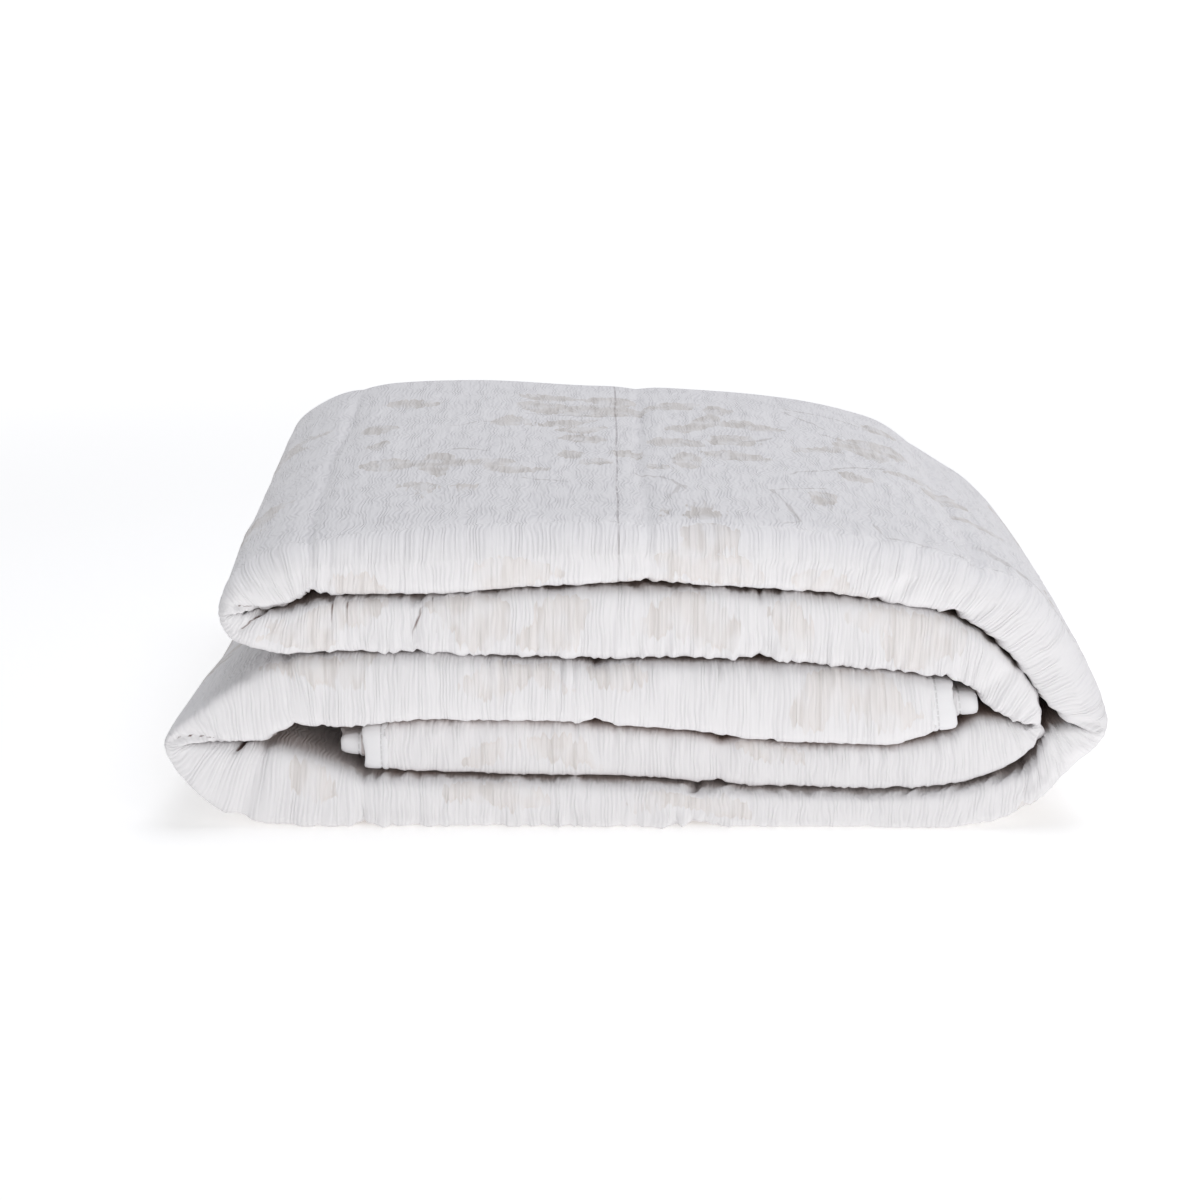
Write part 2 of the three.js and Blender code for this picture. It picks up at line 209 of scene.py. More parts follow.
def softNoise(u, v, sizeU, sizeV, seed):
    # smooth values from -1 to 1 on a seeded grid of the given size
    cells = unevenness["cells"]
    table = np.random.RandomState(seed).uniform(-1, 1, (cells, cells))
    a = u / sizeU + unevenness["startU"]
    b = v / sizeV + unevenness["startV"]
    i, j = np.floor(a).astype(int), np.floor(b).astype(int)
    s, t = a - i, b - j
    s, t = s * s * (3 - 2 * s), t * t * (3 - 2 * t)
    pick = lambda di, dj: table[(i + di) % cells, (j + dj) % cells]
    low = pick(0, 0) * (1 - s) + pick(1, 0) * s
    high = pick(0, 1) * (1 - s) + pick(1, 1) * s
    return low * (1 - t) + high * t


def seamLine(number, v):
    # where a quilting seam runs along the cloth: not quite straight
    apart = number * bedspread["seamApart"] + 0 * v
    wander = softNoise(apart, v, 1, bedspread["seamWanderLength"], seeds["seam"])
    return number * bedspread["panel"] + bedspread["seamWander"] * wander


def fromSeam(u, v):
    # the distance to the nearest seam
    number = np.clip(np.round(u / bedspread["panel"]), 1, bedspread["seams"])
    return np.abs(u - seamLine(number, v))


def sectionAt(u, v):
    # the middle of the folded cloth, half its thickness as a vector, and its front
    left = np.stack([sectionCurves["leftX"](u), sectionCurves["leftZ"](u)], -1)
    right = np.stack([sectionCurves["rightX"](u), sectionCurves["rightZ"](u)], -1)
    half = (left - right) / 2
    thick = np.linalg.norm(half, axis=-1)
    away = fromSeam(u, v) / bedspread["seamReach"]
    draw = bedspread["seamDepth"] * np.clip(1 - away, 0, 1) ** bedspread["seamPower"]
    half = half * ((thick - draw) / thick)[..., None]
    return (left + right) / 2, half, sectionCurves["recess"](u)


def flatterFront(behind, half):
    # a thin layer has a flatter front: its rounding reaches less far back
    round = bedspread["frontRound"]
    share = np.clip(np.linalg.norm(half, axis=-1) / bedspread["fullThick"], bedspread["thinFront"], 1)
    beyond = share * round + (behind - round) * (3 - share) / 2
    return np.where(behind <= round, behind * share, np.where(behind < 3 * round, beyond, behind))


def softerTop(u, behind, level):
    # the top layer's upper edge is rounder than the pressed edges between the layers, and droops
    round = bedspread["frontRound"]
    lies = within(u, topStretch)
    near = lies * (1 - softStep(round, 2 * round, behind))
    power = np.where(level > 0, 1 + (bedspread["openSquare"] / bedspread["frontSquare"] - 1) * near, 1)
    out = np.clip(1 - behind / round, 0, 1) ** power
    level = np.sign(level) * np.abs(level) ** power
    droop = bedspread["droop"] * lies * np.exp(-behind / bedspread["droopReach"])
    level = level * np.where(level > 0, 1 - droop, 1)
    return np.where(behind < round, round * (1 - out), behind), level


def pilePoint(u, v, y, level, reach=0):
    # a point of the folded pile: level runs from -1 on the right face to 1 on the left face
    middle, half, recess = sectionAt(u, v)
    depth = bedspread["depth"]
    behind, level = softerTop(u, y + depth / 2, level)
    behind = flatterFront(behind, half)
    y = behind - depth / 2
    lip = bedspread["lip"] * np.exp(-((behind - bedspread["lipPlace"]) / bedspread["lipWidth"]) ** 2)
    level = level * (1 + lip / np.linalg.norm(half, axis=-1))
    y = y + recess * np.clip(1 - (y / depth + 0.5) / bedspread["recessFade"], 0, 1)
    back = np.clip(y / depth + 0.5, 0, 1)
    inward = tucked(u) * softStep(bedspread["tuckFrom"], bedspread["tuckTo"], back)
    x = middle[..., 0] + half[..., 0] * level + reach + inward
    z = middle[..., 1] + half[..., 1] * level
    z = z - settled(x) * back ** bedspread["sagPower"] * np.clip(z - bedspread["sagFloor"], 0, None)
    return np.stack([x, y, z], -1)


# The plies' places and half thickness as shares of the pile's own, then how far behind the front
# each skin turns and how round, and where its rows lie.
plies = {
    "outer": 0.76, "inner": 0.27, "share": 0.21, "backLap": 0.03, "hemLap": 0.04, "halfPile": 15 * mm,
    "outerSkin": 6.6 * mm, "outerSkinRound": 17.5 * mm, "innerFold": 8.2 * mm, "innerFoldRound": 15 * mm,
    "innermost": 15 * mm, "innermostRound": 5 * mm, "backRound": 15 * mm,
    "backStart": 20 * mm, "backTurn": 8 * mm, "hemTurn": 8 * mm,
    "shallow": -0.1, "deep": 0.08, "underRows": (-0.17, -0.12, -0.04, 0.08, 0.16),
}
foldTable = {"samples": 721, "halfHeight": 20 * mm, "turnWeight": 9 * mm}


def foldArc(start, round, level, steps, square):
    # a front fold seen from the end, from its upper face round to its lower face
    turn = np.linspace(math.pi / 2, -math.pi / 2, foldTable["samples"])
    up = np.sign(np.sin(turn)) * np.abs(np.sin(turn)) ** square
    out = np.clip(np.cos(turn), 0, None) ** square
    # its points are even along the way, and closer where it turns
    way = np.stack([round * (1 - out), foldTable["halfHeight"] * up], -1)
    move = np.diff(way, axis=0)
    angle = np.unwrap(np.arctan2(move[:, 1], move[:, 0]))
    bend = np.abs(np.concatenate([[0], np.diff(angle)]))
    weight = np.hypot(move[:, 0], move[:, 1]) + foldTable["turnWeight"] * bend
    walked = np.concatenate([[0], np.cumsum(weight)])
    even = np.linspace(0, walked[-1], steps + 1)
    out, up = np.interp(even, walked, out), np.interp(even, walked, up)
    return [(start + round * (1 - o), level * u) for o, u in zip(out, up)]


def backArc(back, round, low, high, steps):
    turn = np.linspace(-math.pi / 2, math.pi / 2, steps + 1)
    middle, half = (low + high) / 2, (high - low) / 2
    return [(back - round * (1 - math.cos(a)), middle + half * math.sin(a)) for a in turn]


def clothPath(side):
    # the cloth's way from hem to hem through its four plies: side 1 is its face and -1 its back
    front, back = -bedspread["depth"] / 2, bedspread["depth"] / 2
    hem = back - bedspread["hemInset"]
    square = bedspread["frontSquare"]
    outer, inner, share = plies["outer"], plies["inner"], plies["share"]
    shallow, deep = plies["shallow"], plies["deep"]
    if side > 0:
        path = [(y, -inner + share) for y in (hem, deep, shallow)]
        turn = foldArc(front + plies["innermost"], plies["innermostRound"], inner - share, 2, square)
        path += reversed(turn)
        path += [(y, inner - share) for y in (shallow, deep)]
        path += backArc(back, plies["backRound"], inner - share, outer + share + plies["backLap"], 6)
        topBack, topFront = back - 2 * plies["backRound"], front + 1.6 * bedspread["frontRound"]
        path += [(y, 1) for y in np.linspace(topBack, topFront, bedspread["topRows"])]
        path += foldArc(front, bedspread["frontRound"], 1, bedspread["frontRows"], square)
        path += [(y, -1) for y in plies["underRows"]]
        path += [(hem - plies["hemTurn"], -1), (hem, -outer - share + plies["hemLap"])]
        return path
    path = [(y, -inner - share) for y in (hem, deep, shallow)]
    path += reversed(foldArc(front + plies["innerFold"], plies["innerFoldRound"], inner + share, 6, square))
    path += [(y, inner + share) for y in (shallow, deep, back - plies["backStart"])]
    path += [(back - plies["backTurn"], (inner + outer) / 2)]
    path += [(y, outer - share) for y in (back - plies["backStart"], deep, shallow)]
    path += foldArc(front + plies["outerSkin"], plies["outerSkinRound"], outer - share, 4, square)
    path += [(y, -outer + share) for y in (shallow, deep, hem)]
    return path


def alongPath(path):
    # how far each point of a path lies across the flat cloth
    points = np.array(path) * (1, plies["halfPile"])
    walked = np.concatenate([[0], np.cumsum(np.hypot(*np.diff(points, axis=0).T))])
    return walked / walked[-1] * bedspread["width"]


# Soft creases: depth and width in mm, half the width of the line of painted shade along one in mm,
# and its places along and across the cloth in metres.
creaseRows = [
    (3.4, 3.4, 1.1, [(0.989, 1.374), (0.973, 1.3615), (0.958, 1.362), (0.951, 1.3573), (0.945, 1.3505)]),
    (2.8, 3.0, 0.8, [(0.902, 1.38), (0.906, 1.37), (0.911, 1.3593), (0.914, 1.3515), (0.918, 1.3445)]),
    (2.6, 3.4, 0.7, [(2.128, 1.338), (2.135, 1.3455), (2.141, 1.3515), (2.15, 1.36)]),
    (3.6, 3.0, 1.6, [(2.081, 1.384), (2.083, 1.3695), (2.086, 1.36)]),
    (3.4, 5.0, 0.0, [(2.066, 1.392), (2.064, 1.372), (2.068, 1.352), (2.072, 1.322)]),
    (1.0, 2.4, 0.45, [(0.857, 1.376), (0.855, 1.3595), (0.8565, 1.34)]),
    (1.0, 2.4, 0.35, [(0.843, 1.372), (0.845, 1.356), (0.846, 1.332)]),
    (1.8, 3.4, 0.5, [(0.797, 1.374), (0.796, 1.3573), (0.803, 1.3375)]),
    (0.9, 2.4, 0.35, [(0.79, 1.371), (0.788, 1.342)]),
    (1.1, 3.0, 0.0, [(2.172, 1.322), (2.177, 1.3322), (2.182, 1.3425), (2.19, 1.356)]),
    (2.2, 5.0, 0.0, [(1.335, 1.382), (1.348, 1.362), (1.364, 1.344)]),
    (2.0, 4.5, 0.0, [(1.388, 1.382), (1.4, 1.366), (1.414, 1.352)]),
    (1.8, 4.0, 0.0, [(1.428, 1.38), (1.442, 1.362)]),
    (2.2, 4.5, 0.0, [(1.505, 1.385), (1.512, 1.362), (1.526, 1.344)]),
    (2.2, 4.0, 0.0, [(0.452, 1.318), (0.446, 1.338), (0.438, 1.352)]),
    (1.8, 4.0, 0.0, [(0.482, 1.314), (0.474, 1.336)]),
    (1.6, 3.4, 0.0, [(1.592, 1.38), (1.596, 1.3573), (1.59, 1.3418)]),
    (1.4, 5.0, 0.0, [(2.218, 1.3), (2.226, 1.336), (2.216, 1.372)]),
    (0.5, 2.0, 0.0, [(1.1855, 0.9), (1.1855, 1.4)]),
    (1.0, 4.0, 0.0, [(0.3, 1.32), (0.308, 1.35), (0.302, 1.385)]),
    (1.1, 4.0, 0.0, [(1.7, 1.318), (1.694, 1.35), (1.704, 1.384)]),
    (1.0, 4.0, 0.0, [(2.5, 1.318), (2.508, 1.35), (2.5, 1.382)]),
]
creaseLook = {"farthest": 12.0, "narrowest": 0.35, "endsFrom": 0.1}


def creaseMarks(u, v):
    # how deep the creases are, and how far a place lies outside the line of painted shade along one, in mm
    total = np.zeros_like(u)
    outside = np.full_like(u, creaseLook["farthest"])
    narrowest, endsFrom = creaseLook["narrowest"], creaseLook["endsFrom"]
    for depth, width, creaseShade, line in creaseRows:
        near = np.full_like(u, 1.0)
        ended = np.zeros_like(u)
        for k, ((ua, va), (ub, vb)) in enumerate(zip(line[:-1], line[1:])):
            du, dv = ub - ua, vb - va
            t = np.clip(((u - ua) * du + (v - va) * dv) / (du * du + dv * dv), 0, 1)
            away = np.hypot(u - ua - t * du, v - va - t * dv)
            ended = np.where(away < near, (k + t) / (len(line) - 1), ended)
            near = np.minimum(near, away)
        total += depth * mm * np.exp(-(near / mm / width) ** 2)
        # painted shade: a dark line along the crease, widest at its middle
        if creaseShade:
            swelling = np.sin(math.pi * (endsFrom + (1 - 2 * endsFrom) * ended))
            half = creaseShade * (narrowest + (1 - narrowest) * swelling)
            outside = np.minimum(outside, near / mm - half)
    return total, outside


# Where across the cloth the rounded fronts come furthest out, in metres.
frontPlace = 1.352

relief = {
    "scallop": 0.42 * mm, "cornerScallop": 1.25 * mm, "scallopPitch": 5.2 * mm,
    "corner": 20 * mm, "cornerWidth": 8 * mm, "gather": 0.9, "gatherReach": 14 * mm,
    "wander": 6 * mm, "wanderSize": (40 * mm, 30 * mm), "pleatLength": 60 * mm, "narrowLength": 40 * mm,
    "swell": 0.9 * mm, "swellSize": (55 * mm, 70 * mm), "narrowSwellSize": (20 * mm, 45 * mm),
    "seamLine": 1.3 * mm, "seamWidth": 2.6 * mm, "hollowFree": 0.7,
}


def pressedSide(u, v):
    # which faces of the cloth lie against a next layer
    left = 1 - sum(within(u, stretch) for stretch in openLeftStretches)
    right = 1 - relief["hollowFree"] * within(u, hollowStretch)
    return np.where(v < frontPlace, left, right)


def clothRelief(u, v):
    # how far the face of the cloth stands out: pleats, soft swelling, seams and creases
    near = fromSeam(u, v)
    gather = 1 + relief["gather"] * np.exp(-near / relief["gatherReach"])
    pitch = relief["scallopPitch"]
    wander = relief["wander"] * softNoise(u, v, *relief["wanderSize"], seeds["pleatWander"])
    pleat = softNoise(u + wander, v, pitch / 2, relief["pleatLength"], seeds["pleat"])
    pleat += 0.5 * softNoise(u + wander, v, pitch / 1.1, relief["narrowLength"], seeds["narrowPleat"])
    swell = softNoise(u, v, *relief["swellSize"], seeds["swell"])
    swell += 0.4 * softNoise(u, v, *relief["narrowSwellSize"], seeds["narrowSwell"])
    line = relief["seamLine"] * np.exp(-(near / relief["seamWidth"]) ** 2)
    fromCorner = np.abs(v - frontPlace) - relief["corner"]
    corner = np.exp(-(fromCorner / relief["cornerWidth"]) ** 2) * pressedSide(u, v)
    pleatHeight = relief["scallop"] + relief["cornerScallop"] * corner
    return pleatHeight * gather * pleat + relief["swell"] * swell - line - creaseMarks(u, v)[0]


# Leaves woven into the cloth: both ends on the cloth in metres and the width in mm.
leafRows = [
    (1.112, 0.938, 1.161, 0.945, 20), (1.161, 0.940, 1.200, 0.952, 26), (1.120, 0.982, 1.150, 0.969, 46),
    (1.146, 0.989, 1.210, 0.975, 44), (1.101, 1.022, 1.127, 1.028, 33), (1.127, 1.035, 1.177, 1.015, 18),
    (1.146, 1.054, 1.178, 1.041, 20), (1.147, 1.074, 1.181, 1.081, 26), (1.147, 1.134, 1.162, 1.127, 26),
    (1.160, 1.153, 1.183, 1.153, 22), (1.184, 1.134, 1.200, 1.114, 20), (1.020, 1.140, 1.063, 1.153, 28),
    (1.058, 1.153, 1.080, 1.153, 66), (1.074, 1.153, 1.092, 1.153, 28), (1.088, 1.160, 1.119, 1.147, 26),
    (1.097, 1.173, 1.143, 1.173, 20), (1.043, 1.206, 1.076, 1.213, 15), (1.078, 1.219, 1.096, 1.219, 14),
    (1.084, 1.265, 1.142, 1.262, 15), (1.147, 1.272, 1.202, 1.278, 24), (1.203, 1.278, 1.229, 1.285, 26),
    (1.222, 1.292, 1.246, 1.290, 20), (1.022, 0.962, 1.062, 0.969, 28), (1.013, 1.041, 1.037, 1.041, 33),
    (1.019, 1.094, 1.033, 1.094, 26), (1.220, 0.949, 1.236, 0.969, 48), (1.219, 1.035, 1.244, 1.041, 24),
    (1.211, 1.094, 1.225, 1.074, 30), (1.224, 1.074, 1.244, 1.094, 26), (1.222, 1.140, 1.242, 1.140, 50),
    (1.200, 1.160, 1.224, 1.173, 13), (1.181, 0.944, 1.199, 0.938, 26), (1.237, 1.015, 1.254, 1.022, 80),
    (1.249, 0.969, 1.267, 0.969, 38), (1.254, 1.015, 1.305, 1.015, 30), (1.254, 1.081, 1.275, 1.054, 36),
    (1.242, 1.114, 1.286, 1.127, 30), (1.300, 1.087, 1.343, 1.054, 16), (1.339, 1.054, 1.380, 1.008, 50),
    (1.350, 1.061, 1.367, 1.054, 36), (1.359, 0.949, 1.385, 0.936, 26), (1.223, 1.298, 1.253, 1.292, 15),
    (1.330, 1.153, 1.348, 1.140, 26), (1.294, 1.252, 1.312, 1.239, 26), (1.310, 1.226, 1.323, 1.213, 22),
    (1.386, 1.120, 1.411, 1.127, 48), (1.362, 1.107, 1.390, 1.094, 18), (1.397, 1.173, 1.411, 1.186, 15),
    (1.409, 1.180, 1.428, 1.193, 18), (1.257, 1.252, 1.285, 1.226, 15), (1.222, 1.326, 1.260, 1.326, 20),
    (1.095, 1.352, 1.151, 1.352, 24), (1.166, 1.363, 1.230, 1.363, 15), (1.207, 1.342, 1.273, 1.350, 26),
    (0.820, 1.362, 0.905, 1.338, 24), (0.850, 1.336, 0.900, 1.350, 22), (0.742, 1.342, 0.792, 1.358, 26),
    (0.700, 1.352, 0.738, 1.338, 22), (0.610, 1.338, 0.655, 1.356, 24), (0.634, 1.356, 0.672, 1.342, 16),
    (0.560, 1.340, 0.592, 1.352, 20), (0.468, 1.356, 0.525, 1.336, 24), (0.500, 1.350, 0.545, 1.356, 14),
    (2.182, 1.326, 2.250, 1.338, 16), (2.225, 1.336, 2.262, 1.322, 14), (2.310, 1.344, 2.375, 1.328, 16),
    (2.340, 1.330, 2.388, 1.342, 12), (2.396, 1.328, 2.432, 1.338, 14), (2.512, 1.346, 2.575, 1.328, 24),
    (2.545, 1.336, 2.592, 1.348, 22), (0.085, 1.340, 0.130, 1.352, 16), (0.210, 1.330, 0.252, 1.340, 16),
    (0.045, 1.352, 0.080, 1.342, 14), (2.020, 1.344, 2.052, 1.358, 18), (1.885, 1.346, 1.945, 1.358, 18),
    (1.910, 1.362, 1.962, 1.348, 16), (1.762, 1.342, 1.820, 1.356, 18), (1.802, 1.358, 1.840, 1.344, 12),
    (1.290, 1.350, 1.345, 1.362, 18), (1.015, 1.352, 1.050, 1.362, 14),
]
# Sprays of leaves on the rest of the outer cloth: their place in metres and turn in degrees.
sprayRows = [
    (0.935, 1.020, 20), (0.950, 1.200, 75), (1.455, 1.020, -30), (1.470, 1.250, 40), (1.530, 1.120, 10),
    (1.570, 1.290, -20), (2.080, 1.040, 15), (2.110, 1.210, -40), (2.170, 1.090, 60), (1.590, 1.000, 70),
]
# Thin twigs between the leaves: both ends on the cloth in metres.
twigRows = [
    (1.080, 1.037, 1.101, 1.028), (1.275, 1.068, 1.293, 1.048), (1.305, 0.940, 1.354, 0.946),
    (1.307, 0.956, 1.329, 0.989), (1.327, 1.015, 1.344, 1.028), (1.300, 1.160, 1.363, 1.094),
    (1.263, 1.232, 1.315, 1.199), (1.328, 1.252, 1.341, 1.292), (1.330, 1.278, 1.380, 1.252),
    (1.340, 1.302, 1.390, 1.306), (1.290, 1.298, 1.310, 1.285), (1.225, 1.213, 1.257, 1.245),
    (1.200, 1.180, 1.237, 1.232), (1.080, 1.114, 1.099, 1.120), (1.128, 1.199, 1.151, 1.206),
    (1.395, 1.235, 1.450, 1.270), (1.410, 1.290, 1.470, 1.316), (1.127, 1.000, 1.185, 1.003),
]


# How leaves, twigs and sprays are drawn, in mm and shares, and where the painted shade on pressed faces lies.
motif = {
    "bend": 4 * mm, "bendU": (17 * mm, 13 * mm), "bendV": (15 * mm, 19 * mm),
    "tip": 0.85, "fullness": 0.72, "none": 12.0, "twigReach": (6, 11), "twigEnd": 3, "far": 40.0,
    "gapShadeFrom": (8 * mm, 24 * mm), "gapShadeTo": (50 * mm, 130 * mm),
}
spray = {"turns": (-68, -30, 4, 36, 72), "start": 9, "length": 38, "longer": 9, "width": 14, "wider": 3}


def fromLine(u, v, row):
    # a place's share along a line, its signed distance to the line and the line's length, in mm
    du, dv = row[2] - row[0], row[3] - row[1]
    length = math.hypot(du, dv)
    along = ((u - row[0]) * du + (v - row[1]) * dv) / length ** 2
    side = ((u - row[0]) * dv - (v - row[1]) * du) / length / mm
    return along, side, length / mm


def sprayLeaves(row):
    # a spray is a fan of leaves on one stem
    u, v, turn = row
    for k, bend in enumerate(spray["turns"]):
        way = math.radians(turn + bend)
        start, size = spray["start"] * mm, (spray["length"] + spray["longer"] * ((k * 2) % 3)) * mm
        yield (u + start * math.cos(way), v + start * math.sin(way),
               u + size * math.cos(way), v + size * math.sin(way), spray["width"] + spray["wider"] * (k % 3))


def motifMarks(u, v, behind):
    # signed distances in mm: inside the leaves above nothing, to either side of the nearest twig
    # and outside the painted crease shade, and how much painted shade lies between pressed layers
    creaseShade = creaseMarks(u, v)[1]
    # painted shade on faces pressed against a next layer, from a little behind the front
    hidden = softStep(*motif["gapShadeFrom"], behind) * (1 - softStep(*motif["gapShadeTo"], behind))
    paintedGapShade = pressedSide(u, v) * hidden
    bendU = motif["bend"] * softNoise(u, v, *motif["bendU"], seeds["leafU"])
    bendV = motif["bend"] * softNoise(u, v, *motif["bendV"], seeds["leafV"])
    u, v = u + bendU, v + bendV
    edge = np.full(u.shape, -motif["none"])
    for row in leafRows + [leaf for fan in sprayRows for leaf in sprayLeaves(fan)]:
        along, side, length = fromLine(u, v, row)
        inside = np.clip(along, 0, 1)
        half = row[4] / 2 * np.sin(math.pi * inside ** motif["tip"]) ** motif["fullness"]
        past = np.maximum(-along, along - 1) * length
        edge = np.maximum(edge, np.where(past > 0, -past - np.abs(side) * 0.5, half - np.abs(side)))
    near = np.full(u.shape, motif["far"])
    twig = np.full(u.shape, motif["none"])
    for row in twigRows:
        along, side, length = fromLine(u, v, row)
        past = np.clip(np.maximum(-along, along - 1), 0, None) * length
        away = np.hypot(side, past * motif["twigEnd"])
        twig = np.where(away < near, np.clip(side, -motif["none"], motif["none"]), twig)
        near = np.minimum(near, away)
    return {
        "leafEdge": edge, "twigSide": twig, "twigNear": 1 - softStep(*motif["twigReach"], near),
        "paintedCreaseShade": creaseShade, "paintedGapShade": paintedGapShade,
    }


def endShift(u, inner):
    # the inner plies reach further out than the outer ones at both ends of the cloth
    reach, power = bedspread["endReach"], bedspread["endPower"]
    first = np.clip(1 - u / reach, 0, 1) ** power
    last = np.clip(1 - (bedspread["length"] - u) / reach, 0, 1) ** power
    return bedspread["innerStep"] * inner * (last - first)


def stationPlaces():
    # places along the cloth, evenly spaced on whichever face is longer there
    fine = np.linspace(0, bedspread["length"], 5201)
    left, right = (
        np.hypot(np.diff(sectionCurves[x](fine)), np.diff(sectionCurves[z](fine)))
        for x, z in (("leftX", "leftZ"), ("rightX", "rightZ"))
    )
    walked = np.concatenate([[0], np.cumsum(np.maximum(np.maximum(left, right), np.diff(fine) * 0.8))])
    count = int(round(walked[-1] / bedspread["step"]))
    return np.interp(np.linspace(0, walked[-1], count + 1), walked, fine)


# Stretches of the cloth whose broad face shows, which get more rows across.
shownStretches = [(0.89, 1.60), (2.06, 2.22)]


def makeMesh(name, points, faces, uvs=None, marks=None):
    mesh = bpy.data.meshes.new(name)
    mesh.from_pydata(points.tolist(), [], faces)
    mesh.validate()
    if uvs is not None:
        layer = mesh.uv_layers.new(name="cloth")
        corners = np.empty(len(mesh.loops), dtype=np.int32)
        mesh.loops.foreach_get("vertex_index", corners)
        layer.data.foreach_set("uv", uvs[corners].astype(np.float32).ravel())
    for mark, values in (marks or {}).items():
        attribute = mesh.attributes.new(mark, "FLOAT", "POINT")
        attribute.data.foreach_set("value", values.astype(np.float32))
    mesh.polygons.foreach_set("use_smooth", np.ones(len(mesh.polygons), dtype=bool))
    mesh.update()
    piece = bpy.data.objects.new(name, mesh)
    bpy.context.collection.objects.link(piece)
    return piece


def signedVolume(points, faces):
    total = 0.0
    for face in faces[:: max(1, len(faces) // 20000)]:
        a = points[face[0]]
        for b, c in zip(face[1:-1], face[2:]):
            total += np.dot(a, np.cross(points[b], points[c]))
    return total


# Which part of the cloth is its showing face, in metres across it, and how its two ends are nipped.
clothSkin = {
    "faceFrom": (0.90, 0.96), "fadesFrom": (1.42, 1.5), "fade": 0.6, "innerPlies": (0.885, 0.915),
    "nip": 0.12, "nipReach": 0.005, "stepU": 0.8 * mm,
}


def clothRings(kind, u):
    # rings of points round the cloth at places along it, with what is needed to raise its relief
    path = np.array(kind["path"])
    uGrid, vGrid = np.meshgrid(u, kind["v"], indexing="ij")
    y = np.broadcast_to(path[:, 0], uGrid.shape)
    level = np.broadcast_to(path[:, 1], uGrid.shape)
    reach = endShift(uGrid, 1 - softStep(*clothSkin["innerPlies"], vGrid))
    fromEnd = np.minimum(uGrid, bedspread["length"] - uGrid)
    nip = 1 - clothSkin["nip"] * np.clip(1 - fromEnd / clothSkin["nipReach"], 0, 1)
    points = pilePoint(uGrid, vGrid, y, level * nip, reach)
    before, after = (pilePoint(uGrid + way * clothSkin["stepU"], vGrid, y, level, reach) for way in (-1, 1))
    aheadV = np.roll(points, -1, axis=1) - np.roll(points, 1, axis=1)
    normals = np.cross(after - before, aheadV)
    normals /= np.linalg.norm(normals, axis=-1, keepdims=True) + 1e-12
    faceV = kind["v"][: kind["face"]]
    onFace = np.zeros(len(path))
    onFace[: kind["face"]] = softStep(*clothSkin["faceFrom"], faceV)
    onFace[: kind["face"]] *= 1 - clothSkin["fade"] * softStep(*clothSkin["fadesFrom"], faceV)
    lifts = clothRelief(uGrid, vGrid) * onFace
    behind = points[..., 1] + bedspread["depth"] / 2
    return points, normals, lifts, uGrid, vGrid, behind


def withMoreRows(path, v, first, last, rows):
    # a path with more rows between two of its points, and where its own points are in it
    fine, fineV, kept = [], [], []
    for i, point in enumerate(path):
        kept.append(len(fine))
        fine.append(point)
        fineV.append(v[i])
        if first <= i < last:
            for t in np.arange(1, rows) / rows:
                fine.append(tuple(np.array(point) * (1 - t) + np.array(path[i + 1]) * t))
                fineV.append(v[i] * (1 - t) + v[i + 1] * t)
    return fine, fineV, kept


def ringFaces(starts, kept):
    # the faces between neighbouring rings, with more corners where a fine ring meets a coarse one
    faces = []
    for (a, na), (b, nb) in zip(starts[:-1], starts[1:]):
        if na == nb:
            faces += [(a + j, b + j, b + (j + 1) % na, a + (j + 1) % na) for j in range(na)]
            continue
        n = len(kept)
        for j in range(n):
            low, high = kept[j], kept[(j + 1) % n]
            run = list(range(low, high + 1)) if high > low else [low, high]
            if na < nb:
                faces.append(tuple([a + j] + [b + k for k in run] + [a + (j + 1) % n]))
            else:
                faces.append(tuple([b + (j + 1) % n] + [a + k for k in reversed(run)] + [b + j]))
    return faces


def capFaces(start, vUpper, vLower):
    # an end of the cloth: the points of its face and of its back joined in turn
    lastUpper, lastLower = len(vUpper) - 1, len(vLower) - 1
    lowerIndex = lambda k: start + len(vUpper) + lastLower - k
    faces, i, j = [], 0, 0
    while i < lastUpper or j < lastLower:
        if j == lastLower or (i < lastUpper and vUpper[i + 1] <= vLower[j + 1]):
            faces.append((start + i, start + i + 1, lowerIndex(j)))
            i += 1
        else:
            faces.append((start + i, lowerIndex(j + 1), lowerIndex(j)))
            j += 1
    return faces


